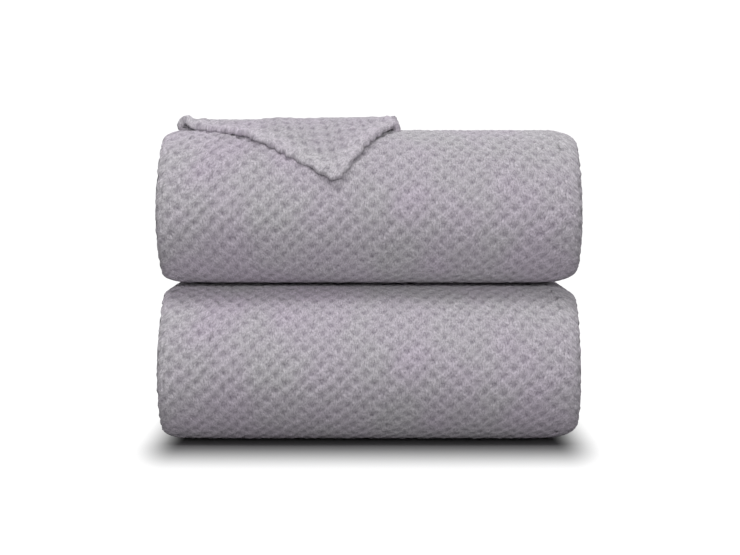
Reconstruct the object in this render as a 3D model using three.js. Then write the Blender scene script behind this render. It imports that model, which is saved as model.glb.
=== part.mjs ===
// Two fleece throws, each folded into a loaf and stacked, with one corner of the upper throw
// turned forward over the top. Every throw is one flat sheet: its hem stitching and its blank
// label are laid out on the flat sheet, and the whole lot is then folded.
// Millimetres, +Z up, the rounded fold faces -Y, origin at the middle of the underside.
import * as THREE from 'three';

// The flat throw.
const clothWidth = 1270;        // from side hem to side hem
const clothLength = 1524;       // from end hem to end hem
const plyThickness = 3.2;       // the cloth itself, pile pressed down
const clearance = 0.3;          // air between two pieces that rest on each other
const threadThickness = 0.45;
const threadWidth = 3;          // a row of hem stitching
const hemInset = 8;             // from the cloth's edge to the stitching
const labelWidth = 32;
const labelShown = 16;          // how far the label stands out past the end hem
const labelThickness = 0.4;
const labelPlace = 92.3;        // from the outer ply's fold, along the end hem

// The folding: two plies across and two again, then six runs along.
const pliesAcross = 4;
const runsAlong = 6;
const endTaper = 0.012;         // how much narrower the outer plies are, as a share
const endRounding = 0.08;       // how much more the last plies draw in
const roundingPower = 14;       // how late that starts
const frontFullness = 0.93;     // how much less the rounded front draws in than top and bottom

// The corner of the upper throw that is turned forward.
const stripInset = 16.44;       // from the loaf's left end to the strip's left fold
const stripWidth = 166;         // from its left fold to its right fold
const tipAlong = 118;           // from the left fold to where the corner's point hangs
const tipReach = 74;            // from the front crest down to the point, over the cloth
const tipWidth = 6;             // the point's blunt end
const underLeft = 60;           // cloth turned under at the left fold
const underRight = 50;          // and at the right
const underStart = 5;           // what is turned under at the front crest
const stitchStart = 4.44;       // from the front crest to the corner's stitching, over the cloth
const stitchShort = 18.5;       // from the stitching's other end to the point
const stripGap = 0.5;           // between the strip's hinge line and the ply end below it

// What follows from the sizes above.
const ply = plyThickness + 3 * clearance + 2 * threadThickness;
const bundle = pliesAcross * ply;
const halfPlies = pliesAcross * runsAlong / 2;
const outerRadius = (halfPlies - 0.5) * ply + plyThickness / 2;
const loafHeight = 2 * outerRadius;
const outerPly = 1.5 * ply;     // the outermost ply, from the middle of its bundle
const panel = (clothWidth - 2.5 * Math.PI * ply) / pliesAcross;
const loafLength = panel + 2 * ply + plyThickness;
const stripLeft = stripInset - loafLength / 2;
const stripRight = stripLeft + stripWidth;
const tipPlace = stripLeft + tipAlong;

const route = makeRoute();
const loafDepth = outerRadius + route.run + bundle - ply / 2 + plyThickness / 2;
const crestY = -loafDepth / 2 + outerRadius;
const backY = crestY + route.run;

// One ply's width after another, with the three folds between them, as places along the cloth.
function acrossSamples() {
  const samples = [0];
  const add = (length, steps) => {
    const from = samples[samples.length - 1];
    for (let i = 1; i <= steps; i++) samples.push(from + length * i / steps);
  };
  add(panel, 1);
  add(1.5 * Math.PI * ply, 6);
  add(panel, 1);
  add(0.5 * Math.PI * ply, 4);
  add(panel, 1);
  add(0.5 * Math.PI * ply, 4);
  add(panel, 1);
  return samples;
}

// The sheet folded in half and in half again: a place across the flat cloth, and a height off it,
// become a place along X and a height in the bundle of four plies.
function foldAcross(u, height) {
  const right = (panel - ply) / 2;
  const left = right - panel;
  const turns = [
    { length: panel, x: left, ply: -1.5, toward: 1 },
    { length: 1.5 * Math.PI * ply, x: right, centre: 0, radius: 1.5, side: 1, from: -1 },
    { length: panel, x: right, ply: 1.5, toward: -1 },
    { length: 0.5 * Math.PI * ply, x: left, centre: 1, radius: 0.5, side: -1, from: 1 },
    { length: panel, x: left, ply: 0.5, toward: 1 },
    { length: 0.5 * Math.PI * ply, x: right, centre: 0, radius: 0.5, side: 1, from: 1 },
    { length: panel, x: right, ply: -0.5, toward: -1 },
  ];
  let place = u;
  let index = 0;
  while (index < turns.length - 1 && place > turns[index].length) {
    place -= turns[index].length;
    index += 1;
  }
  const turn = turns[index];
  if (turn.toward) {
    return { x: turn.x + turn.toward * place, w: turn.ply * ply - turn.toward * height };
  }
  const angle = Math.PI * place / turn.length;
  const outward = turn.side === turn.from ? -1 : 1;
  const radius = turn.radius * ply + outward * height;
  return {
    x: turn.x + turn.side * radius * Math.sin(angle),
    w: turn.centre * ply + turn.from * radius * Math.cos(angle),
  };
}

// The bundle's way along: three full rounds of the front, joined by two folds at the back.
// Each bend has its centre, its middle radius in plies, and the side that the outer ply is on.
function makeRoute() {
  const half = halfPlies;
  const bends = [
    { at: 'front', lift: 0, radius: half - 2, outer: 1, from: 1, steps: 12 },
    { at: 'back', lift: 4 - half, radius: 2, outer: 1, from: -1, steps: 6 },
    { at: 'front', lift: 0, radius: half - 6, outer: -1, from: -1, steps: 8 },
    { at: 'back', lift: half - 8, radius: 2, outer: -1, from: 1, steps: 6 },
    { at: 'front', lift: 0, radius: 2, outer: 1, from: 1, steps: 6 },
  ];
  for (const bend of bends) {
    bend.length = Math.PI * (bend.radius * ply + bend.outer * outerPly);
  }
  const bent = bends.reduce((sum, bend) => sum + bend.length, 0);
  return { bends, run: (clothLength - bent) / runsAlong };
}

function alongSamples() {
  const samples = [0, route.run];
  for (const bend of route.bends) {
    const from = samples[samples.length - 1];
    for (let i = 1; i <= bend.steps; i++) samples.push(from + bend.length * i / bend.steps);
    samples.push(from + bend.length + route.run);
  }
  return samples;
}

// A place along the cloth, and a height in the bundle, become a place in the Y-Z plane.
function foldAlong(v, w) {
  let place = v;
  let height = halfPlies - 2;
  let toward = -1;
  for (const bend of route.bends) {
    if (place <= route.run) break;
    place -= route.run;
    const centreY = bend.at === 'front' ? crestY : backY;
    const outside = bend.at === 'front' ? -1 : 1;
    if (place <= bend.length) {
      const angle = Math.PI * place / bend.length;
      const radius = bend.radius * ply + bend.outer * w;
      return {
        y: centreY + outside * radius * Math.sin(angle),
        z: bend.lift * ply + bend.from * radius * Math.cos(angle),
      };
    }
    place -= bend.length;
    height = bend.lift - bend.from * bend.radius;
    toward = -outside;
  }
  const startY = toward < 0 ? backY : crestY;
  return { y: startY + toward * place, z: height * ply - toward * w };
}

// The loaf's ends draw in with distance from its inner crease.
function drawIn(x, y, z) {
  const past = y < crestY ? crestY - y : Math.max(0, y - backY);
  const share = Math.hypot(frontFullness * past, z) / outerRadius;
  return x * (1 - endTaper * share ** 2 - endRounding * share ** roundingPower);
}

// The whole folding, for a loaf whose middle height is centreZ.
function foldedInto(centreZ) {
  return (u, v, height) => {
    const across = foldAcross(u, height);
    const along = foldAlong(v, across.w);
    return new THREE.Vector3(drawIn(across.x, along.y, along.z), along.y, centreZ + along.z);
  };
}

// A closed slab between two heights over a grid of places, laid where `place` says.
function slab(us, vs, low, high, place) {
  const positions = [];
  const faces = [];
  const columns = vs.length;
  const layer = us.length * columns;
  for (const height of [low, high]) {
    for (const u of us) {
      for (const v of vs) positions.push(...place(u, v, height).toArray());
    }
  }
  const quad = (a, b, c, d) => faces.push(a, b, c, a, c, d);
  const at = (i, j, top) => top * layer + i * columns + j;
  for (let i = 0; i < us.length - 1; i++) {
    for (let j = 0; j < columns - 1; j++) {
      quad(at(i, j, 1), at(i + 1, j, 1), at(i + 1, j + 1, 1), at(i, j + 1, 1));
      quad(at(i, j, 0), at(i, j + 1, 0), at(i + 1, j + 1, 0), at(i + 1, j, 0));
    }
  }
  const lastU = us.length - 1;
  const lastV = columns - 1;
  for (let i = 0; i < lastU; i++) {
    quad(at(i, 0, 0), at(i + 1, 0, 0), at(i + 1, 0, 1), at(i, 0, 1));
    quad(at(i, lastV, 0), at(i, lastV, 1), at(i + 1, lastV, 1), at(i + 1, lastV, 0));
  }
  for (let j = 0; j < lastV; j++) {
    quad(at(0, j, 0), at(0, j, 1), at(0, j + 1, 1), at(0, j + 1, 0));
    quad(at(lastU, j, 0), at(lastU, j + 1, 0), at(lastU, j + 1, 1), at(lastU, j, 1));
  }
  const geometry = new THREE.BufferGeometry();
  geometry.setAttribute('position', new THREE.Float32BufferAttribute(positions, 3));
  geometry.setIndex(faces);
  geometry.computeVertexNormals();
  return geometry;
}

function piece(name, geometry, color, roughness) {
  const material = new THREE.MeshStandardMaterial({ color, roughness, metalness: 0 });
  const mesh = new THREE.Mesh(geometry, material);
  mesh.name = name;
  return mesh;
}

// The samples between two places, with both places themselves.
function between(samples, from, to) {
  return [from, ...samples.filter((sample) => sample > from + 1 && sample < to - 1), to];
}

const clothPiece = (name, geometry) => piece(name, geometry, 0xb4adb8, 0.95);
const threadPiece = (name, geometry) => piece(name, geometry, 0xc6bfca, 0.7);
const labelPiece = (name, geometry) => piece(name, geometry, 0xeeeae6, 0.6);

// One throw, folded: the cloth, the stitching of its four hems, and its label.
function foldedThrow(name, centreZ) {
  const place = foldedInto(centreZ);
  const us = acrossSamples();
  const vs = alongSamples();
  const face = plyThickness / 2;
  const threadLow = face + clearance;
  const threadHigh = threadLow + threadThickness;
  const width = clothWidth;
  const inner = hemInset + threadWidth;
  const endUs = between(us, inner + clearance, width - inner - clearance);
  const endHem = (v) => slab(endUs, [v, v + threadWidth], -threadHigh, -threadLow, place);
  const outerPlyStart = panel + 1.5 * Math.PI * ply;
  const labelFrom = outerPlyStart + labelPlace;
  const labelUs = [labelFrom, labelFrom + labelWidth];
  const labelVs = [-labelShown, hemInset - clearance];

  const group = new THREE.Group();
  group.add(
    clothPiece(`${name}_cloth`, slab(us, vs, -face, face, place)),
    threadPiece(`${name}_left_hem_stitching`,
      slab([hemInset, inner], vs, -threadHigh, -threadLow, place)),
    threadPiece(`${name}_right_hem_stitching`,
      slab([width - inner, width - hemInset], vs, threadLow, threadHigh, place)),
    threadPiece(`${name}_start_hem_stitching`, endHem(hemInset)),
    threadPiece(`${name}_finish_hem_stitching`, endHem(clothLength - inner)),
    labelPiece(`${name}_care_label`,
      slab(labelUs, labelVs, -threadLow - labelThickness, -threadLow, place)),
  );
  return group;
}

// The strip that leads to the turned corner: the cloth's end, laid forward along the top with
// both sides turned under. s runs 0-1 under the left, 1-2 round its fold, 2-3 over the top,
// 3-4 round the right fold and 4-5 back under.
function stripOn(topZ) {
  const radius = ply / 2;
  const lowZ = topZ + clearance + plyThickness / 2;
  const leftX = stripLeft + radius + plyThickness / 2;
  const rightX = stripRight - radius - plyThickness / 2;
  return (s, v, height) => {
    const under = Math.min(1, (underStart + v) / Math.max(underLeft, underRight));
    const y = crestY + clearance / 2 + v;
    if (s <= 1) return new THREE.Vector3(leftX + underLeft * under * (1 - s), y, lowZ - height);
    if (s >= 4) return new THREE.Vector3(rightX - underRight * under * (s - 4), y, lowZ - height);
    if (s >= 2 && s <= 3) {
      return new THREE.Vector3(leftX + (rightX - leftX) * (s - 2), y, lowZ + ply + height);
    }
    const side = s < 2 ? -1 : 1;
    const angle = Math.PI * (s < 2 ? s - 1 : 4 - s);
    const x = (side < 0 ? leftX : rightX) + side * (radius + height) * Math.sin(angle);
    return new THREE.Vector3(x, y, lowZ + radius - (radius + height) * Math.cos(angle));
  };
}

// The corner itself, one ply thick: a goes from the crest, 0, to the point, 1, and b from its left
// hem to its right hem. It comes down off the strip's upper ply on to the loaf's rounded front.
function cornerOn(topZ) {
  const centreZ = topZ - outerRadius;
  const rest = outerRadius + clearance + plyThickness / 2;
  return (a, b, height) => {
    const left = stripLeft + (tipPlace - tipWidth / 2 - stripLeft) * a;
    const right = stripRight + (tipPlace + tipWidth / 2 - stripRight) * a;
    const radius = rest + ply * (1 - a) + height;
    const angle = tipReach * a / rest;
    return new THREE.Vector3(
      left + (right - left) * b,
      crestY - clearance / 2 - radius * Math.sin(angle),
      centreZ + radius * Math.cos(angle),
    );
  };
}

function turnedCorner(topZ) {
  const face = plyThickness / 2;
  const length = backY + stripGap - crestY - clearance / 2;
  const arc = [0, 0.25, 0.5, 0.75];
  const stripSamples = [0, ...arc.map((k) => 1 + k), 2, ...arc.map((k) => 3 + k), 4, 5];
  const underReach = Math.max(underLeft, underRight) - underStart;
  const cornerSamples = [0, 1, 2, 3, 4, 5, 6, 7, 8].map((i) => i / 8);
  const stitchFrom = stitchStart / tipReach;
  const stitchTo = 1 - stitchShort / tipReach;
  const inside = cornerSamples.filter((a) => a > stitchFrom + 0.02 && a < stitchTo - 0.02);
  const hemSamples = [stitchFrom, ...inside, stitchTo];
  const corner = cornerOn(topZ);
  const threadLow = face + clearance;
  const threadHigh = threadLow + threadThickness;

  // Across the corner, a hem's stitching keeps its distance from the edge as the corner narrows.
  const stitching = (side) => (a, b, height) => {
    const width = stripWidth * (1 - a) + tipWidth * a;
    const inset = (2 * hemInset + b * threadWidth) / width;
    return corner(a, side < 0 ? inset : 1 - inset, height);
  };
  const group = new THREE.Group();
  group.add(
    clothPiece('upper_turned_strip',
      slab(stripSamples, [0, underReach, length], -face, face, stripOn(topZ))),
    clothPiece('upper_turned_corner',
      slab(cornerSamples, [0, 0.25, 0.5, 0.75, 1], -face, face, corner)),
    threadPiece('corner_left_hem_stitching',
      slab(hemSamples, [0, 1], threadLow, threadHigh, stitching(-1))),
    threadPiece('corner_right_hem_stitching',
      slab([...hemSamples].reverse(), [0, 1], threadLow, threadHigh, stitching(1))),
  );
  return group;
}

const stack = new THREE.Group();
const upperZ = loafHeight + clearance;
stack.add(
  foldedThrow('lower', outerRadius),
  foldedThrow('upper', upperZ + outerRadius),
  turnedCorner(upperZ + loafHeight),
);

export default stack;
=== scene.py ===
import math

import bmesh
import bpy
import numpy as np
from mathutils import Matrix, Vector


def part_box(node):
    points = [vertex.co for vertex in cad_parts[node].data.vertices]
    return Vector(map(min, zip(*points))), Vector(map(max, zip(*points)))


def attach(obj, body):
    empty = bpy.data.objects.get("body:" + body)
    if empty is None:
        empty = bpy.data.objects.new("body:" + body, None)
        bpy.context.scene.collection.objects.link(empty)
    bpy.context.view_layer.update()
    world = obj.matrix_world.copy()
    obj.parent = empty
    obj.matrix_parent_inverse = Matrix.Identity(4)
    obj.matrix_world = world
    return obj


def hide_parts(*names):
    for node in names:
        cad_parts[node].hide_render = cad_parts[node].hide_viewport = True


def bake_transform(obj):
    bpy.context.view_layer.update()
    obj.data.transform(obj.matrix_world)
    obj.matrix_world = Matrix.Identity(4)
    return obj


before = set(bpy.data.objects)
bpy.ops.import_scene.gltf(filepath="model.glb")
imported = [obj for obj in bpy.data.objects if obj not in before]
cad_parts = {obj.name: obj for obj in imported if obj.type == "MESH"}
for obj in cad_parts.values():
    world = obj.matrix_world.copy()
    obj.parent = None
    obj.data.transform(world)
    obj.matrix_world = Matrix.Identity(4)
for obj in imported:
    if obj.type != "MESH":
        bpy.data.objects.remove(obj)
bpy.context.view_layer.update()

for thing in bpy.context.selected_objects:
    thing.select_set(False)


# ---------------------------------------------------------------- the stand
# A floor that runs away out of sight: dark paper that glows white, its glow fading out round
# the stack to paint the stack's shadow; a camera level with the upper throw, and soft studio light from
# above and in front.

front_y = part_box("lower_cloth")[0][1]

bpy.ops.mesh.primitive_grid_add(x_subdivisions=8, y_subdivisions=8, size=60, location=(0, 0, 0))
floor = bpy.context.object
floor.name = "studio_floor"

paper = bpy.data.materials.new("pale_paper")
paper.use_nodes = True
paper_shader = paper.node_tree.nodes["Principled BSDF"]
paper_shader.inputs["Base Color"].default_value = (0.08, 0.08, 0.082, 1)
paper_shader.inputs["Roughness"].default_value = 0.9
paper_shader.inputs["Emission Color"].default_value = (1, 1, 1, 1)
# Painted shadow: the floor's glow fades out over the patch under the stack, so the floor is dark there.
spot = paper.node_tree.nodes.new("ShaderNodeTexCoord")
painted_shadow_half = (0.14, 0.10, 0)     # half of the patch under the stack where the glow fades out: a painted shadow
painted_shadow_fade_speed = (5, 1, 0)            # how fast the floor turns white out of the painted shadow, sideways and forward
painted_shadow_reach = 0.2
steps = [("ABSOLUTE", None), ("SUBTRACT", painted_shadow_half), ("MAXIMUM", (0, 0, 0)),
         ("MULTIPLY", painted_shadow_fade_speed), ("LENGTH", None)]
from_patch = spot.outputs["Object"]
for operation, other in steps:
    reach = paper.node_tree.nodes.new("ShaderNodeVectorMath")
    reach.operation = operation
    paper.node_tree.links.new(from_patch, reach.inputs[0])
    if other is not None:
        reach.inputs[1].default_value = other
    from_patch = reach.outputs["Value" if operation == "LENGTH" else "Vector"]
painted_shadow_fade = paper.node_tree.nodes.new("ShaderNodeMapRange")
painted_shadow_fade.interpolation_type = "SMOOTHSTEP"
painted_shadow_fade.inputs["From Min"].default_value = 0.0
painted_shadow_fade.inputs["From Max"].default_value = painted_shadow_reach
paper_ray = paper.node_tree.nodes.new("ShaderNodeLightPath")
paper_seen = paper.node_tree.nodes.new("ShaderNodeMapRange")
paper_seen.inputs["To Min"].default_value = 0.07     # what the paper gives as light
paper_seen.inputs["To Max"].default_value = 1.0      # how white it looks
paper_glow = paper.node_tree.nodes.new("ShaderNodeMath")
paper_glow.operation = "MULTIPLY"
paper.node_tree.links.new(from_patch, painted_shadow_fade.inputs["Value"])
paper.node_tree.links.new(paper_ray.outputs["Is Camera Ray"], paper_seen.inputs["Value"])
paper.node_tree.links.new(painted_shadow_fade.outputs["Result"], paper_glow.inputs[0])
paper.node_tree.links.new(paper_seen.outputs["Result"], paper_glow.inputs[1])
paper.node_tree.links.new(paper_glow.outputs[0], paper_shader.inputs["Emission Strength"])
floor.data.materials.append(paper)

world = bpy.data.worlds.new("studio")
bpy.context.scene.world = world
world.use_nodes = True
sky = world.node_tree.nodes["Background"]
sky.inputs["Color"].default_value = (1, 1, 1, 1)
ray = world.node_tree.nodes.new("ShaderNodeLightPath")
seen = world.node_tree.nodes.new("ShaderNodeMapRange")
seen.inputs["To Min"].default_value = 0.2      # what the room gives as light
seen.inputs["To Max"].default_value = 1.05     # how white it looks
world.node_tree.links.new(ray.outputs["Is Camera Ray"], seen.inputs["Value"])
world.node_tree.links.new(seen.outputs["Result"], sky.inputs["Strength"])


def soft_light(name, place, aim, size, power):
    lamp = bpy.data.lights.new(name, "AREA")
    lamp.shape = "RECTANGLE"
    lamp.size, lamp.size_y = size
    lamp.energy = power
    holder = bpy.data.objects.new(name, lamp)
    bpy.context.collection.objects.link(holder)
    holder.location = place
    holder.rotation_euler = (Vector(aim) - Vector(place)).to_track_quat("-Z", "Y").to_euler()


soft_light("overhead_front", (-0.45, -1.35, 3.0), (0, 0, 0.1), (1.5, 0.9), 46)
soft_light("overhead_back", (0.2, 1.6, 2.4), (0, 0, 0.1), (2.4, 1.4), 34)
soft_light("low_front", (0.1, -3.0, 0.6), (0, 0, 0.12), (2.6, 0.8), 54)

view_distance = 1.9
camera_data = bpy.data.cameras.new("camera")
camera = bpy.data.objects.new("camera", camera_data)
bpy.context.collection.objects.link(camera)
camera_side = 0.0012
camera_height = 0.215
middle_height = 0.127       # the height that the camera aims at
view_width = 0.563          # how wide a strip it takes in
view_depth = 0.055          # how far behind the front that strip is
sensor = 36
camera.location = (camera_side, front_y - view_distance, camera_height)
tilt = math.atan((camera_height - middle_height) / view_distance)
camera.rotation_euler = (math.radians(90) - tilt, 0, 0)
camera_data.sensor_width = sensor
camera_data.lens = sensor * (view_distance + view_depth) / view_width
camera_data.clip_end = 200
bpy.context.scene.camera = camera
bpy.context.scene.view_settings.view_transform = "Standard"


# ---------------------------------------------------------------- the fleece
# Flannel fleece with a short soft pile, pressed into staggered puffs: each puff is a small
# rounded rhombus, with a dimple in the cloth between it and the next row, darkened by painted shade.

puff_width = 0.0135         # from one puff to the next in a row
puff_row = 0.0061           # from one row to the next
puff_lean = 0.22            # how much steeper a puff's upper side is
relief = 0.0017             # from the dimples to the tops of the puffs
dimple_power = 1.1          # how narrow the dimples are
smooth_share, fall_share, rise_share = 0.6, 0.26, 0.14     # the puffs, and the ridges across them

cloth_size = (1.27, 1.524)
ply_thickness = 0.0032
ply = 0.005                 # one ply in the folded stack, with the air around it


def puff_height(u, v):
    """The pressed pattern, from 0 in a dimple to 1 on a puff, at a place on the flat cloth."""
    along = math.pi * (u / puff_width + v / (2 * puff_row))
    against = math.pi * (u / puff_width - v / (2 * puff_row))
    along = along + puff_lean * np.cos(2 * along)
    against = against - puff_lean * np.cos(2 * against)
    rise, fall = np.cos(along) ** 2, np.cos(against) ** 2
    dimple = ((1 - rise) * (1 - fall)) ** dimple_power
    return smooth_share * (1 - dimple) + fall_share * fall + rise_share * rise


def lie_of(u, v):
    """The cloth never lies quite square: where a place on it is printed in the pattern."""
    u_drift = (0.0016 * np.sin(23 * v + 5 * u) + 0.0010 * np.sin(71 * v + 33 * u + 2)
               + 0.0008 * np.sin(217 * u - 160 * v))
    v_drift = (0.0013 * np.sin(19 * u + 9 * v + 1) + 0.0009 * np.sin(63 * u - 40 * v + 0.4)
               + 0.0006 * np.sin(241 * v + 190 * u))
    return u + u_drift, v + v_drift


def noise_node(tree, vector, scale, detail=2.0, roughness=0.5):
    node = tree.nodes.new("ShaderNodeTexNoise")
    node.inputs["Scale"].default_value = scale
    node.inputs["Detail"].default_value = detail
    node.inputs["Roughness"].default_value = roughness
    tree.links.new(vector, node.inputs["Vector"])
    return node.outputs["Fac"]


def math_node(tree, operation, *values):
    node = tree.nodes.new("ShaderNodeMath")
    node.operation = operation
    for socket, value in zip(node.inputs, values):
        if isinstance(value, (int, float)):
            socket.default_value = value
        else:
            tree.links.new(value, socket)
    return node.outputs[0]


def range_node(tree, value, low, high, to_low=0.0, to_high=1.0):
    node = tree.nodes.new("ShaderNodeMapRange")
    node.inputs["From Min"].default_value = low
    node.inputs["From Max"].default_value = high
    node.inputs["To Min"].default_value = to_low
    node.inputs["To Max"].default_value = to_high
    tree.links.new(value, node.inputs["Value"])
    return node.outputs["Result"]


def mix_node(tree, factor, first, second):
    node = tree.nodes.new("ShaderNodeMix")
    node.data_type = "RGBA"
    for socket, value in ((node.inputs[0], factor), (node.inputs[6], first), (node.inputs[7], second)):
        if isinstance(value, tuple):
            socket.default_value = value
        else:
            tree.links.new(value, socket)
    return node.outputs[2]


def pressed_fleece_group():
    """Reads a place on the flat cloth, and gives the puffs, the lie of the pile and its blotches."""
    group = bpy.data.node_groups.new("pressed_fleece", "ShaderNodeTree")
    face = group.interface
    face.new_socket(name="Cloth", in_out="INPUT", socket_type="NodeSocketVector")
    for name, value in (("Puff Width", puff_width), ("Row", puff_row)):
        face.new_socket(name=name, in_out="INPUT", socket_type="NodeSocketFloat").default_value = value
    for name in ("Puffs", "Pile", "Blotches"):
        face.new_socket(name=name, in_out="OUTPUT", socket_type="NodeSocketFloat")
    read = group.nodes.new("NodeGroupInput")
    give = group.nodes.new("NodeGroupOutput")

    split = group.nodes.new("ShaderNodeSeparateXYZ")
    group.links.new(read.outputs["Cloth"], split.inputs[0])
    across = math_node(group, "DIVIDE", split.outputs[0], read.outputs["Puff Width"])
    rows = math_node(group, "DIVIDE", split.outputs[1], read.outputs["Row"])
    half_rows = math_node(group, "MULTIPLY", rows, 0.5)
    waves = []
    for operation in ("ADD", "SUBTRACT"):
        turn = math_node(group, "MULTIPLY", math_node(group, operation, across, half_rows), math.pi)
        lean = math_node(group, "COSINE", math_node(group, "MULTIPLY", turn, 2.0))
        lean = math_node(group, "MULTIPLY", lean, puff_lean)
        turn = math_node(group, operation, turn, lean)
        wave = math_node(group, "ABSOLUTE", math_node(group, "COSINE", turn))
        waves.append(math_node(group, "POWER", wave, 2.0))
    hollows = [math_node(group, "SUBTRACT", 1.0, wave) for wave in waves]
    dimple = math_node(group, "POWER", math_node(group, "MULTIPLY", *hollows), dimple_power)
    smooth = math_node(group, "MULTIPLY", math_node(group, "SUBTRACT", 1.0, dimple), smooth_share)
    ridges = math_node(group, "ADD", math_node(group, "MULTIPLY", waves[0], rise_share),
                       math_node(group, "MULTIPLY", waves[1], fall_share))
    group.links.new(math_node(group, "ADD", smooth, ridges), give.inputs["Puffs"])

    lie = group.nodes.new("ShaderNodeMapping")
    lie.inputs["Scale"].default_value = (1, 0.3, 1)
    group.links.new(read.outputs["Cloth"], lie.inputs["Vector"])
    strands = noise_node(group, lie.outputs[0], 1250, 3.0, 0.7)
    tufts = noise_node(group, read.outputs["Cloth"], 520, 3.0, 0.65)
    pile = math_node(group, "ADD", math_node(group, "MULTIPLY", strands, 0.6),
                     math_node(group, "MULTIPLY", tufts, 0.4))
    group.links.new(pile, give.inputs["Pile"])
    group.links.new(noise_node(group, read.outputs["Cloth"], 16, 2.0, 0.55), give.inputs["Blotches"])
    return group


pressed_fleece = pressed_fleece_group()


def fleece_material(name, base, tint):
    material = bpy.data.materials.new(name)
    material.use_nodes = True
    tree = material.node_tree
    shader = tree.nodes["Principled BSDF"]
    place = tree.nodes.new("ShaderNodeUVMap")
    place.uv_map = "flat_cloth"
    cloth = tree.nodes.new("ShaderNodeGroup")
    cloth.node_tree = pressed_fleece
    tree.links.new(place.outputs[0], cloth.inputs["Cloth"])
    modelled = tree.nodes.new("ShaderNodeAttribute")
    modelled.attribute_name = "modelled"

    blotch = range_node(tree, cloth.outputs["Blotches"], 0.35, 0.65)
    # Painted shading: an attribute that paints the colour lighter along the hems (painted highlight) and
    # darker over the turned corner's face (painted shade).
    painted_shading = tree.nodes.new("ShaderNodeAttribute")
    painted_shading.attribute_name = "painted_shading"
    colour = mix_node(tree, blotch, base, tint)
    painted_shading_colour = mix_node(tree, painted_shading.outputs["Fac"], (0.84, 0.84, 0.85, 1), (1.16, 1.16, 1.16, 1))
    # Painted shade: the dimples between the puffs are painted darker.
    painted_dimple_shade = mix_node(tree, range_node(tree, cloth.outputs["Puffs"], 0.05, 0.75),
                    (0.72, 0.71, 0.73, 1), (1.02, 1.02, 1.02, 1))
    strand = mix_node(tree, range_node(tree, cloth.outputs["Pile"], 0.36, 0.64),
                      (0.55, 0.54, 0.56, 1), (1.36, 1.36, 1.36, 1))
    for layer in (painted_dimple_shade, strand, painted_shading_colour):
        product = tree.nodes.new("ShaderNodeMix")
        product.data_type = "RGBA"
        product.blend_type = "MULTIPLY"
        product.inputs[0].default_value = 1
        tree.links.new(colour, product.inputs[6])
        tree.links.new(layer, product.inputs[7])
        colour = product.outputs[2]
    tree.links.new(colour, shader.inputs["Base Color"])

    flat_only = math_node(tree, "SUBTRACT", 1.0, modelled.outputs["Fac"])
    pressed = math_node(tree, "MULTIPLY", cloth.outputs["Puffs"], flat_only)
    pressed = math_node(tree, "MULTIPLY", pressed, relief)
    pile_and_painted_shading = math_node(tree, "MULTIPLY", cloth.outputs["Pile"], 0.0015)
    bump = tree.nodes.new("ShaderNodeBump")
    bump.inputs["Strength"].default_value = 1
    bump.inputs["Distance"].default_value = 1
    tree.links.new(math_node(tree, "ADD", pressed, pile_and_painted_shading), bump.inputs["Height"])
    tree.links.new(bump.outputs[0], shader.inputs["Normal"])
    rough = range_node(tree, cloth.outputs["Pile"], 0.3, 0.7, 0.98, 0.86)
    tree.links.new(rough, shader.inputs["Roughness"])
    shader.inputs["Specular IOR Level"].default_value = 0.18
    shader.inputs["Sheen Weight"].default_value = 0.35
    shader.inputs["Sheen Roughness"].default_value = 0.45
    shader.inputs["Sheen Tint"].default_value = (0.93, 0.9, 0.96, 1)
    return material


fleece = fleece_material("lilac_grey_fleece", (0.497, 0.480, 0.500, 1), (0.516, 0.465, 0.530, 1))


# ---------------------------------------------------------------- the folding
# Each throw is one flat sheet. It is folded in half across and in half again, then run to and
# fro six times along its length, so that its rounded front is three nested bends.

plies_across = 4
half_plies = 12
outer_ply = 1.5 * ply
outer_radius = (half_plies - 0.5) * ply + ply_thickness / 2
panel = (cloth_size[0] - 2.5 * math.pi * ply) / plies_across

# Where each bend is, how high its centre, its radius in plies, the side of the outer ply, and
# whether it starts above or below its centre.
bends = [("front", 0, 10, 1, 1), ("back", -8, 2, 1, -1), ("front", 0, 6, -1, -1),
         ("back", 4, 2, -1, 1), ("front", 0, 2, 1, 1)]
bend_lengths = [math.pi * (radius * ply + side * outer_ply) for _, _, radius, side, _ in bends]
run = (cloth_size[1] - sum(bend_lengths)) / 6
crest_y = front_y + outer_radius
back_y = crest_y + run


def fold_across(u, height):
    right = (panel - ply) / 2
    left = right - panel
    wide, tight = 1.5 * math.pi * ply, 0.5 * math.pi * ply
    starts = np.cumsum([0, panel, wide, panel, tight, panel, tight])
    x, w = np.zeros_like(u), np.zeros_like(u)
    runs = [(0, left, -1.5, 1), (2, right, 1.5, -1), (4, left, 0.5, 1), (6, right, -0.5, -1)]
    turns = [(1, wide, right, 0, 1.5, 1, -1), (3, tight, left, 1, 0.5, -1, 1),
             (5, tight, right, 0, 0.5, 1, 1)]
    stretch = np.searchsorted(starts[1:], u, side="left")
    for index, start_x, level, toward in runs:
        here = stretch == index
        x[here] = start_x + toward * (u[here] - starts[index])
        w[here] = level * ply - toward * height[here]
    for index, length, centre_x, level, radius, side, start in turns:
        here = stretch == index
        angle = math.pi * (u[here] - starts[index]) / length
        reach = radius * ply + (-1 if side == start else 1) * height[here]
        x[here] = centre_x + side * reach * np.sin(angle)
        w[here] = level * ply + start * reach * np.cos(angle)
    return x, w


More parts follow.
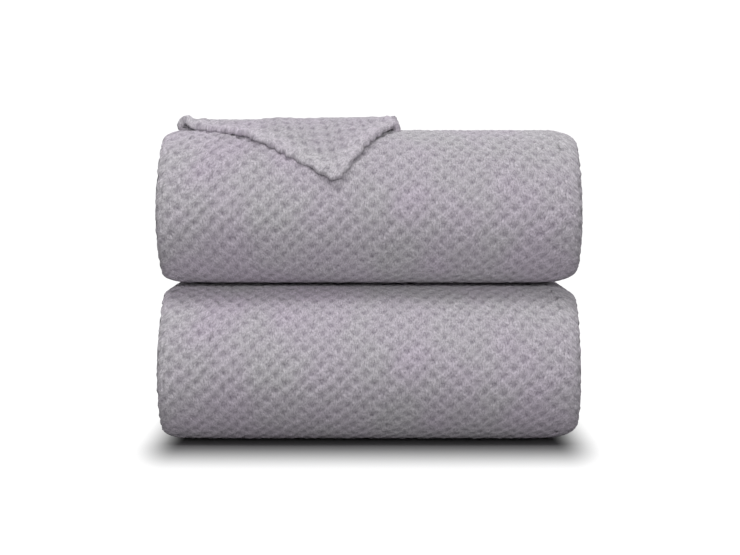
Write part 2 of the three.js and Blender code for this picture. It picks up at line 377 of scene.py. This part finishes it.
def fold_along(v, w):
    y, z = np.zeros_like(v), np.zeros_like(v)
    begin, level, toward = 0.0, half_plies - 2, -1
    done = np.zeros(v.shape, bool)
    for number in range(len(bends) + 1):
        last = number == len(bends)
        here = ~done & ((v <= begin + run) | last)
        y[here] = (back_y if toward < 0 else crest_y) + toward * (v[here] - begin)
        z[here] = level * ply - toward * w[here]
        done |= here
        if last:
            break
        where, lift, radius, side, start = bends[number]
        begin += run
        here = ~done & (v <= begin + bend_lengths[number])
        angle = math.pi * (v[here] - begin) / bend_lengths[number]
        reach = radius * ply + side * w[here]
        outside = -1 if where == "front" else 1
        y[here] = (crest_y if where == "front" else back_y) + outside * reach * np.sin(angle)
        z[here] = lift * ply + start * reach * np.cos(angle)
        done |= here
        begin += bend_lengths[number]
        level, toward = lift - start * radius, -outside
    return y, z


def laid_length(v, w):
    """How far along its own ply a place lies: a ply inside a bend is shorter than one outside."""
    total, begin = np.minimum(v, run), run
    for (_, _, radius, side, _), length in zip(bends, bend_lengths):
        share = np.clip((v - begin) / length, 0, 1)
        total = total + share * math.pi * (radius * ply + side * w)
        begin += length
        total = total + np.clip(v - begin, 0, run)
        begin += run
    return total


front_fullness = 0.93       # under 1, the front bend is fuller than a half round
end_taper, end_round = 0.012, 0.08      # how far the ends draw in, over all and at the very front


def draw_in(x, y, z):
    """The folded ends draw in a little toward the rounded front and the back folds."""
    past = np.where(y < crest_y, crest_y - y, np.maximum(0, y - back_y))
    share = np.minimum(np.hypot(front_fullness * past, z) / outer_radius, 1.03)
    return x * (1 - end_taper * share ** 2 - end_round * share ** 14)


under_lift = 0.003          # how far the cloth stands off what it lies on, under the front bend


def slump(points, centre_z, seed):
    """Slow swells over the front and the ends, and the lift under the front bend."""
    x, y, z = points.T.copy()
    level = (z - centre_z) / outer_radius
    free = np.clip(1 - level ** 2, 0, 1)
    swell = 0.0011 * np.sin(21 * x + 2.1 * seed) + 0.0008 * np.sin(47 * x + 3.7 * seed + 30 * z)
    front = np.clip((crest_y - y) / outer_radius, 0, 1)
    y -= swell * front * free
    z += under_lift * np.exp(-((y - crest_y) / 0.016) ** 2) * np.clip((-level - 0.6) / 0.4, 0, 1)
    x += 0.0006 * np.sin(34 * z + 1.3 * seed) * free * np.sign(x) * np.clip(np.abs(x) / 0.16, 0, 1) ** 2
    return np.stack([x, y, z], axis=1)


def fold_throw(u, v, height, centre_z, seed):
    x, w = fold_across(u, height)
    y, z = fold_along(v, w)
    x = draw_in(x, y, z)
    return slump(np.stack([x, y, centre_z + z], axis=1), centre_z, seed)


def spaced(start, stop, step):
    return np.linspace(start, stop, max(2, int(round((stop - start) / step)) + 1))


def joined(*lists):
    return np.unique(np.round(np.concatenate(lists), 7))


def zip_rows(first, first_places, second, second_places):
    """Triangles between two rows of points that are spaced differently."""
    faces = []
    i = j = 0
    while i < len(first) - 1 or j < len(second) - 1:
        ahead = i < len(first) - 1 and (
            j == len(second) - 1 or first_places[i + 1] <= second_places[j + 1])
        if ahead:
            faces.append((first[i], first[i + 1], second[j]))
            i += 1
        else:
            faces.append((first[i], second[j + 1], second[j]))
            j += 1
    return faces


edge_round = 0.0025         # how far in the cloth's edge is rounded
hem_width = 0.0125
hem_line = 0.0095           # from the cloth's edge to the stitches


def hem_profile(edge):
    """By the distance from an edge: its rounding, where the hem is, and the line of the stitches."""
    rounded = np.sqrt(np.clip(1 - (1 - np.clip(edge, 0, edge_round) / edge_round) ** 2, 0.01, 1))
    hem = 1 / (1 + np.exp((edge - hem_width) / 0.0008))
    stitched = np.exp(-((edge - hem_line) / 0.0011) ** 2)
    return rounded, hem, stitched


def from_edge(u, v):
    return np.minimum(np.minimum(u, cloth_size[0] - u), np.minimum(v, cloth_size[1] - v))


crown_height = 0.0009       # how far the outer ply stands proud round the front


def throw_heights(u, v, side):
    rounded, hem, stitched = hem_profile(from_edge(u, v))
    thickness = ply_thickness / 2 * rounded
    if side < 0:
        return -thickness
    puffs = puff_height(*lie_of(u, v))
    crown = (crown_height * np.clip((v - run) / 0.03, 0, 1)
             * np.clip((run + bend_lengths[0] - v) / 0.03, 0, 1))
    crown = (crown * np.clip((u - fold_starts[2]) / 0.02, 0, 1)
             * np.clip((fold_starts[3] - u) / 0.02, 0, 1))
    worn = 1 - 0.5 * np.clip((v - run - 0.07) / 0.07, 0, 1)
    raised = thickness + relief * (puffs - 1) * (1 - 0.6 * hem) * rounded * worn + crown
    return raised - 0.0008 * stitched * rounded


fold_starts = np.cumsum([0, panel, 1.5 * math.pi * ply, panel, 0.5 * math.pi * ply,
                         panel, 0.5 * math.pi * ply, panel])
edge_steps = np.array([0, 0.0003, 0.0008, 0.0016, edge_round, 0.006, 0.009, hem_width])
coarse_step, fold_step = 0.034, 0.0012      # along the flat panels, and round the tight folds
fine_across, fine_along = puff_width / 8, puff_row / 4
shown_until = run + bend_lengths[0] + 0.02      # the outer ply, over the top and round the front


def throw_cloth(name, centre_z, seed):
    coarse_u = joined(edge_steps, cloth_size[0] - edge_steps, *[
        spaced(fold_starts[i], fold_starts[i + 1], coarse_step if i % 2 == 0 else fold_step)
        for i in range(7)])
    fine_u = joined(coarse_u, spaced(fold_starts[1], fold_starts[4], fine_across))
    route = [0.0]
    for length in bend_lengths:
        route += [route[-1] + run, route[-1] + run + length]
    route.append(route[-1] + run)
    coarse_v = joined(edge_steps, cloth_size[1] - edge_steps, *[
        spaced(route[i], route[i + 1],
               coarse_step if i % 2 == 0 else min(0.0042, (route[i + 1] - route[i]) / 14))
        for i in range(len(route) - 1)])
    fine_v = joined(edge_steps, spaced(hem_width, shown_until, fine_along))
    rest_v = coarse_v[coarse_v > shown_until + 0.004]

    places, sides = [], []

    def grid(us, vs, side):
        first = sum(len(part) for part in places)
        flat = np.stack(np.meshgrid(us, vs, indexing="ij"), axis=-1).reshape(-1, 2)
        places.append(flat)
        sides.append(np.full(len(flat), side))
        return first + np.arange(len(us) * len(vs)).reshape(len(us), len(vs))

    shown = grid(fine_u, fine_v, 1)
    tucked = grid(coarse_u, rest_v, 1)
    under = grid(coarse_u, coarse_v, -1)
    faces = []
    for index, side in ((shown, 1), (tucked, 1), (under, -1)):
        corners = [index[:-1, :-1], index[1:, :-1], index[1:, 1:], index[:-1, 1:]]
        quads = np.stack([c.ravel() for c in corners], axis=1)
        faces += [tuple(q) for q in (quads if side > 0 else quads[:, ::-1])]
    faces += zip_rows(shown[:, -1], fine_u, tucked[:, 0], coarse_u)
    long_v = np.concatenate([fine_v, rest_v])
    near = np.concatenate([shown[0], tucked[0]])
    far = np.concatenate([shown[-1], tucked[-1]])
    faces += zip_rows(near, long_v, under[0], coarse_v)
    faces += zip_rows(under[-1], coarse_v, far, long_v)
    faces += zip_rows(under[:, 0], coarse_u, shown[:, 0], fine_u)
    faces += zip_rows(tucked[:, -1], coarse_u, under[:, -1], coarse_u)

    flat = np.concatenate(places)
    side = np.concatenate(sides)
    height = np.where(side > 0, throw_heights(flat[:, 0], flat[:, 1], 1),
                      throw_heights(flat[:, 0], flat[:, 1], -1))
    lean = np.where((side > 0) & (flat[:, 1] < shown_until - 0.01) & (flat[:, 1] > 0.02),
                    0.0008 * puff_height(*lie_of(flat[:, 0], flat[:, 1])), 0)
    tufts = np.random.default_rng(int(seed)).normal(0, 0.00016, shown.shape)
    tufts = (tufts + np.roll(tufts, 1, axis=1) + np.roll(tufts, 2, axis=1)) / 1.7
    proud = (fine_v > 0.02) & (fine_v < run + bend_lengths[0] - 0.012)
    height[shown[2:-2].ravel()] += (tufts * proud)[2:-2].ravel()
    solid = fold_throw(flat[:, 0], flat[:, 1] + lean, height, centre_z, seed)
    modelled = ((side > 0) & (flat[:, 1] <= shown_until) & (flat[:, 0] >= fold_starts[1])
                & (flat[:, 0] <= fold_starts[4]))
    # Painted highlight: the hems are painted a little lighter.
    painted_shading = 0.5 + 0.2 * hem_profile(from_edge(flat[:, 0], flat[:, 1]))[1]
    own_ply = fold_across(flat[:, 0], np.zeros(len(flat)))[1]
    laid = np.stack([flat[:, 0], laid_length(flat[:, 1], own_ply)], axis=1)
    return cloth_object(name, solid, faces, laid, modelled, painted_shading)


def cloth_object(name, solid, faces, flat, modelled, painted_shading):
    """A smooth mesh of the folded cloth, with its flat places as UV and where puffs are modelled."""
    mesh = bpy.data.meshes.new(name)
    mesh.from_pydata(solid.tolist(), [], faces)
    uv = mesh.uv_layers.new(name="flat_cloth")
    corners = np.zeros(len(mesh.loops), dtype=np.int32)
    mesh.loops.foreach_get("vertex_index", corners)
    printed = np.stack(lie_of(flat[:, 0], flat[:, 1]), axis=1)
    uv.data.foreach_set("uv", printed[corners].astype(np.float32).ravel())
    mark = mesh.attributes.new("modelled", "FLOAT", "POINT")
    mark.data.foreach_set("value", modelled.astype(np.float32))
    # Painted shading: how much lighter or darker the colour is painted at each point.
    pile_and_painted_shading = mesh.attributes.new("painted_shading", "FLOAT", "POINT")
    pile_and_painted_shading.data.foreach_set("value", painted_shading.astype(np.float32))
    mesh.polygons.foreach_set("use_smooth", [True] * len(mesh.polygons))
    mesh.update()
    cloth = bpy.data.objects.new(name, mesh)
    bpy.context.collection.objects.link(cloth)
    mesh.materials.append(fleece)
    return cloth


# ---------------------------------------------------------------- the lower throw's cloth
# One sheet of fleece in its folded shape. It lies on the floor and carries the upper throw.

lower_centre = outer_radius
lower_cloth = throw_cloth("lower_throw_cloth", lower_centre, 1.0)
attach(lower_cloth, "lower_throw")
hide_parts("lower_cloth")


# ---------------------------------------------------------------- the upper throw's cloth
# A second sheet, folded the same way and laid on the first.

upper_lowest, upper_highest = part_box("upper_cloth")
upper_centre = (upper_lowest[2] + upper_highest[2]) / 2
upper_cloth = throw_cloth("upper_throw_cloth", upper_centre, 2.0)
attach(upper_cloth, "upper_throw")
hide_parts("upper_cloth")

# ---------------------------------------------------------------- the hem stitching
# Each edge is turned and sewn with a lockstitch: a row of short stitches on both faces of the
# cloth, drawn a little way into the pile. The thread is twisted polyester.

stitch_pitch = 0.0046
stitch_length = 0.0036
stitch_radius = 0.00034
hem_end = 0.015             # where a row across an end hem starts and stops

twist = bpy.data.materials.new("sewing_thread")
twist.use_nodes = True
twist_tree = twist.node_tree
twist_shader = twist_tree.nodes["Principled BSDF"]
along_thread = twist_tree.nodes.new("ShaderNodeTexCoord")
fibres = noise_node(twist_tree, along_thread.outputs["Object"], 2600, 2.0, 0.6)
thread_colour = mix_node(twist_tree, range_node(twist_tree, fibres, 0.35, 0.65),
                         (0.36, 0.33, 0.38, 1), (0.58, 0.55, 0.6, 1))
twist_tree.links.new(thread_colour, twist_shader.inputs["Base Color"])
twist_shader.inputs["Roughness"].default_value = 0.55
twist_shader.inputs["Sheen Weight"].default_value = 0.3

bpy.ops.mesh.primitive_uv_sphere_add(segments=6, ring_count=5, radius=1)
pattern = bpy.context.object
stitch_points = np.array([list(v.co) for v in pattern.data.vertices])
stitch_faces = [tuple(p.vertices) for p in pattern.data.polygons]
bpy.data.objects.remove(pattern)


def hem_stitches(name, lay, length, node, body):
    """A row of stitches: `lay` turns a place along the hem, across it and off it into a place."""
    count = int(length / stitch_pitch)
    middles = (np.arange(count) + 0.5) * length / count
    rows = []
    for face in (1, -1):
        shape = np.stack([stitch_points[:, 2] * stitch_length / 2, stitch_points[:, 0] * stitch_radius,
                          stitch_points[:, 1] * stitch_radius * 0.9], axis=1)
        if face < 0:
            shape[:, 2] += -ply_thickness / 2 - 0.0002
        else:
            shape[:, 2] += ply_thickness / 2 - 0.0006
        row = np.repeat(shape[None], count, axis=0)
        row[:, :, 0] += middles[:, None]
        rows.append(row.reshape(-1, 3))
    flat = np.concatenate(rows)
    solid = lay(flat[:, 0], flat[:, 1], flat[:, 2])
    size = len(stitch_points)
    faces = [tuple(number * size + corner for corner in face)
             for number in range(2 * count) for face in stitch_faces]
    mesh = bpy.data.meshes.new(name)
    mesh.from_pydata(solid.tolist(), [], faces)
    mesh.polygons.foreach_set("use_smooth", [True] * len(mesh.polygons))
    mesh.materials.append(twist)
    whole = bmesh.new()
    whole.from_mesh(mesh)
    bmesh.ops.recalc_face_normals(whole, faces=whole.faces)
    whole.to_mesh(mesh)
    whole.free()
    row = bpy.data.objects.new(name, mesh)
    bpy.context.collection.objects.link(row)
    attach(row, body)
    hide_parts(node)
    return row


def hems_of(throw, centre_z, seed):
    width, length = cloth_size
    routes = {
        "left": (length, lambda s, across, off: (hem_line + across, s, off)),
        "right": (length, lambda s, across, off: (width - hem_line + across, s, off)),
        "start": (width - 2 * hem_end, lambda s, across, off: (hem_end + s, hem_line + across, off)),
        "finish": (width - 2 * hem_end,
                   lambda s, across, off: (hem_end + s, length - hem_line + across, off)),
    }
    rows = []
    for side, (reach, route) in routes.items():
        def lay(s, across, off, route=route):
            return fold_throw(*route(s, across, off), centre_z, seed)
        rows.append(hem_stitches(f"{throw}_{side}_hem_stitches", lay, reach,
                                 f"{throw}_{side}_hem_stitching", f"{throw}_throw"))
    return rows


lower_hems = hems_of("lower", lower_centre, 1.0)
upper_hems = hems_of("upper", upper_centre, 2.0)


# ---------------------------------------------------------------- the care labels
# A blank satin tape, folded double and caught in the start hem of each throw, so that its
# folded end stands out at the back.

label_width = 0.032
label_out = 0.016
label_tape = 0.0004
label_fold = 0.00055        # the radius that the tape turns back round
label_tuck = 0.0018         # from the stitches to where the tape comes out
label_droop = 2.0           # how fast the tape's free end sinks, per metre out
label_along = 0.0923        # from the outer ply's fold, along the end hem

satin = bpy.data.materials.new("label_satin")
satin.use_nodes = True
satin_tree = satin.node_tree
satin_shader = satin_tree.nodes["Principled BSDF"]
satin_place = satin_tree.nodes.new("ShaderNodeTexCoord")
warp = satin_tree.nodes.new("ShaderNodeTexWave")
warp.inputs["Scale"].default_value = 900
warp.inputs["Distortion"].default_value = 0.6
satin_tree.links.new(satin_place.outputs["Object"], warp.inputs["Vector"])
satin_colour = mix_node(satin_tree, warp.outputs["Fac"], (0.74, 0.72, 0.69, 1), (0.86, 0.84, 0.81, 1))
satin_tree.links.new(satin_colour, satin_shader.inputs["Base Color"])
satin_bump = satin_tree.nodes.new("ShaderNodeBump")
satin_bump.inputs["Distance"].default_value = 0.0001
satin_tree.links.new(warp.outputs["Fac"], satin_bump.inputs["Height"])
satin_tree.links.new(satin_bump.outputs[0], satin_shader.inputs["Normal"])
satin_shader.inputs["Roughness"].default_value = 0.38
satin_shader.inputs["Sheen Weight"].default_value = 0.2


def care_label(throw, centre_z, seed):
    """The tape's way: out from the hem, round its fold, and back to the hem above itself."""
    fold = label_fold
    start_v = hem_line - label_tuck
    reach = start_v + label_out
    ways = joined(np.linspace(0, reach, 9), reach + np.linspace(0, math.pi * fold, 7),
                  reach + math.pi * fold + np.linspace(0, reach, 9))
    across = np.linspace(0, label_width, 11)
    middle_u = fold_starts[2] + label_along
    flat = np.stack(np.meshgrid(across, ways, indexing="ij"), axis=-1).reshape(-1, 2)
    turn = np.clip((flat[:, 1] - reach) / fold, 0, math.pi)
    beyond = np.maximum(flat[:, 1] - reach - math.pi * fold, 0)
    straight = np.minimum(flat[:, 1], reach)
    layers = []
    for side in (-1, 1):
        thick = side * label_tape / 2
        v = start_v - straight - (fold + thick) * np.sin(turn) + beyond
        off = -(fold + thick) * np.cos(turn) - ply_thickness / 2 - 0.0009
        lay = fold_throw(middle_u + flat[:, 0], v, off, centre_z, seed)
        lay[:, 2] -= label_droop * np.maximum(-v, 0) ** 2
        layers.append(lay)
    solid = np.concatenate(layers)
    columns = len(ways)
    size = len(flat)
    last_row = (len(across) - 1) * columns
    faces = []
    for row in range(0, last_row, columns):
        for j in range(columns - 1):
            a, b = row + j, row + columns + j
            c, d = b + 1, a + 1
            faces += [(a, b, c, d), (size + d, size + c, size + b, size + a)]
    edge = ([(row, row + columns) for row in range(0, last_row, columns)]
            + [(row + 2 * columns - 1, row + columns - 1) for row in range(0, last_row, columns)]
            + [(j + 1, j) for j in range(columns - 1)]
            + [(last_row + j, last_row + j + 1) for j in range(columns - 1)])
    faces += [(b, a, size + a, size + b) for a, b in edge]
    mesh = bpy.data.meshes.new(f"{throw}_care_label_tape")
    mesh.from_pydata(solid.tolist(), [], faces)
    whole = bmesh.new()
    whole.from_mesh(mesh)
    bmesh.ops.recalc_face_normals(whole, faces=whole.faces)
    whole.to_mesh(mesh)
    whole.free()
    mesh.polygons.foreach_set("use_smooth", [True] * len(mesh.polygons))
    mesh.materials.append(satin)
    label = bpy.data.objects.new(mesh.name, mesh)
    bpy.context.collection.objects.link(label)
    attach(label, f"{throw}_throw")
    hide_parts(f"{throw}_care_label")
    return label


lower_label = care_label("lower", lower_centre, 1.0)
upper_label = care_label("upper", upper_centre, 2.0)


# ---------------------------------------------------------------- the turned end
# The end of the upper throw, brought forward over the top with both sides turned under, so
# that one square corner of the cloth hangs over the front. Its two hems meet at the point.

strip_lowest, strip_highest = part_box("upper_turned_strip")
strip_left, strip_right = strip_lowest[0], strip_highest[0]
top_z = upper_highest[2]
fold_radius = ply / 2
under_height = strip_lowest[2] - top_z + ply_thickness / 2
left_turn = strip_left + fold_radius + ply_thickness / 2
right_turn = strip_right - fold_radius - ply_thickness / 2
point_x, point_reach = -0.023, 0.0775       # the corner's point, from the front crest down
left_slope = math.radians(33.5)             # the left hem's slope across the front
point_round = 0.007                         # how blunt the corner is
under_width = (0.060, 0.050)                # cloth turned under on the left and right
fold_fill, fill_reach = 0.00085, 0.02       # how far its underside fills out beside each side fold
back_bend = (under_height + ply + ply_thickness / 2) / 2


def corner_place(alpha, beta):
    """From the hems' own directions, out from the point, to across and forward of the crest."""
    short_alpha = np.maximum(point_round - alpha, 0)
    short_beta = np.maximum(point_round - beta, 0)
    larger, whole = np.maximum(short_alpha, short_beta), np.hypot(short_alpha, short_beta)
    ease = np.where(whole > 0, larger / np.maximum(whole, 1e-9), 1)
    alpha = np.where(short_alpha > 0, point_round - short_alpha * ease, alpha)
    beta = np.where(short_beta > 0, point_round - short_beta * ease, beta)
    scallop = 0.0009 * np.exp(-np.minimum(alpha, beta) / 0.004)
    alpha = alpha + scallop * np.sin(beta * 590 + 2 * np.sin(beta * 130)) * (alpha < beta)
    beta = beta + scallop * np.sin(alpha * 560 + 2 * np.sin(alpha * 120)) * (beta <= alpha)
    x = point_x - alpha * math.cos(left_slope) + beta * math.sin(left_slope)
    forward = point_reach - alpha * math.sin(left_slope) - beta * math.cos(left_slope)
    return x, forward


def turned_heights(alpha, beta, side):
    rounded, hem, stitched = hem_profile(np.minimum(alpha, beta))
    thickness = ply_thickness / 2 * rounded
    if side < 0:
        x = corner_place(alpha, beta)[0]
        beyond = np.maximum(left_turn - x, x - right_turn)
        near = np.exp(-(np.maximum(beyond + fill_reach, 0) / fill_reach - 1) ** 2)
        return -thickness - fold_fill * near * rounded
    along_edge = np.maximum(alpha, beta)
    plump = (0.0022 + 0.0008 * np.sin(along_edge * 420 + 2 * np.sin(along_edge * 130))) * hem * rounded
    pressed = relief * 1.2 * (puff_height(*lie_of(alpha, beta)) - 1) * (1 - 0.7 * hem) * rounded
    return thickness + pressed + plump - 0.0020 * stitched * rounded


def turn_end(alpha, beta, height):
    x, forward = corner_place(alpha, beta)
    left_bend = np.clip((left_turn - x) / fold_radius, 0, math.pi)
    right_bend = np.clip((x - right_turn) / fold_radius, 0, math.pi)
    bend = np.where(left_bend > 0, left_bend, right_bend)
    side = np.where(left_bend > 0, -1.0, 1.0)
    past = np.maximum(np.maximum(left_turn - x, x - right_turn) - math.pi * fold_radius, 0)
    place = np.clip(x, left_turn, right_turn) + side * (fold_radius + height) * np.sin(bend) - side * past
    lift = under_height + fold_radius + (fold_radius + height) * np.cos(bend)

    edge = np.minimum(alpha, beta)
    down_hem = np.clip(1.25 - edge / 0.028, 0, 1) * np.clip((forward + 0.006) / 0.014, 0, 1)
    settle = np.maximum(np.clip(forward / 0.05, 0, 1), down_hem)
    lift = lift - ply * settle ** 2 * (3 - 2 * settle)
    puffed = np.exp(-((place + 0.004) / 0.05) ** 2) * 0.0018 * np.clip(1 - forward / 0.06, 0, 1)
    ripple = 0.0007 * np.sin(70 * place + 40 * forward) + 0.0004 * np.sin(160 * place - 90 * forward)
    upper = (1 + np.cos(bend)) / 2
    lift = lift + (puffed + ripple * np.clip(forward / 0.02 + 1, 0, 1)) * upper
    along_edge = np.maximum(alpha, beta)
    dips = 0.35 + 0.65 * np.sin(along_edge * 590 + 2 * np.sin(along_edge * 130)) ** 2
    curl = 0.0007 * np.exp(-edge / 0.006) * np.clip(forward / 0.02, 0, 1) * dips
    point_curl = 0.0004 * np.exp(-np.hypot(alpha, beta) / 0.012)
    lift = lift + curl + point_curl

    radius = outer_radius + lift
    angle = np.maximum(forward, 0) / (outer_radius + 0.0019)
    y = crest_y - radius * np.sin(angle) - np.minimum(forward, 0)
    z = radius * np.cos(angle) - outer_radius
    behind = np.clip((-forward - run) / back_bend, 0, math.pi)
    round_back = -forward > run
    centre = (under_height + ply - ply_thickness / 2) / 2
    reach = back_bend + lift - under_height - ply
    y = np.where(round_back, back_y + reach * np.sin(behind), y)
    z = np.where(round_back, centre + reach * np.cos(behind), z)
    return np.stack([place, y, top_z + z], axis=1)


def turned_piece(name, keep):
    """The part of the turned end whose small squares `keep` picks, as a closed folded slab."""
    alphas = joined(edge_steps, np.arange(hem_width, 0.345, fine_across))
    betas = joined(edge_steps, np.arange(hem_width, 0.33, fine_along))
    flat = np.stack(np.meshgrid(alphas, betas, indexing="ij"), axis=-1)
    middle = (flat[:-1, :-1] + flat[1:, 1:]) / 2
    x, forward = corner_place(middle[..., 0], middle[..., 1])
    wanted = keep(x, forward)
    columns = len(betas)
    i, j = np.nonzero(wanted)
    corner = i * columns + j
    quads = np.stack([corner, corner + columns, corner + columns + 1, corner + 1], axis=1)
    used = np.unique(quads)
    index = np.full(flat.shape[0] * columns, -1)
    index[used] = np.arange(len(used))
    quads = index[quads]
    flat = flat.reshape(-1, 2)[used]
    top = turn_end(flat[:, 0], flat[:, 1], turned_heights(flat[:, 0], flat[:, 1], 1))
    under = turn_end(flat[:, 0], flat[:, 1], turned_heights(flat[:, 0], flat[:, 1], -1))
    size = len(flat)
    sides = {}
    for quad in quads.tolist():
        for a, b in zip(quad, quad[1:] + quad[:1]):
            if (b, a) in sides:
                del sides[(b, a)]
            else:
                sides[(a, b)] = True
    faces = [tuple(q[::-1]) for q in quads.tolist()]
    faces += [tuple(size + c for c in q) for q in quads.tolist()]
    faces += [(a, b, size + b, size + a) for a, b in sides]
    modelled = np.concatenate([np.ones(size), np.zeros(size)])
    # Painted shading: the corner's upper face is painted darker, and lighter along its hems; its
    # underside is left as it is.
    hem = 1 / (1 + np.exp((flat.min(axis=1) - hem_width) / 0.0012))
    painted_shading = np.concatenate([0.28 + 0.5 * hem, np.full(size, 0.5)])
    piece = cloth_object(name, np.concatenate([top, under]), faces, np.concatenate([flat, flat]),
                         modelled, painted_shading)
    area = float(((alphas[i + 1] - alphas[i]) * (betas[j + 1] - betas[j])).sum())
    span = (float(alphas[i.max() + 1] - alphas[i.min()]), float(betas[j.max() + 1] - betas[j.min()]))
    return piece, span, area


def in_strip(x):
    turned = math.pi * fold_radius
    return (x > left_turn - turned - under_width[0]) & (x < right_turn + turned + under_width[1])


back_cut = run - 0.016      # where the turned end gives way to the piece that bends over the back

turned_end, end_span, end_area = turned_piece(
    "turned_end", lambda x, forward: in_strip(x) & (forward > -back_cut))
back_fold, _, back_area = turned_piece(
    "turned_back_fold",
    lambda x, forward: (forward <= -back_cut) & (forward > -run - math.pi * back_bend)
    & in_strip(x) & ((forward > -run + 0.003) | ((x > left_turn - 0.001) & (x < right_turn + 0.001))))

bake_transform(turned_end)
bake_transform(back_fold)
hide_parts("upper_turned_strip", "upper_turned_corner")


def lay_left(s, across, off):
    return turn_end(hem_line + s, hem_line + across, off)


def lay_right(s, across, off):
    return turn_end(hem_line - across, hem_line + s, off)


left_reach, right_reach = 0.130, 0.072      # the rows of stitches along the corner's two hems
hem_stitches("corner_left_hem_stitches", lay_left, left_reach,
             "corner_left_hem_stitching", "turned_corner")
hem_stitches("corner_right_hem_stitches", lay_right, right_reach,
             "corner_right_hem_stitching", "turned_corner")
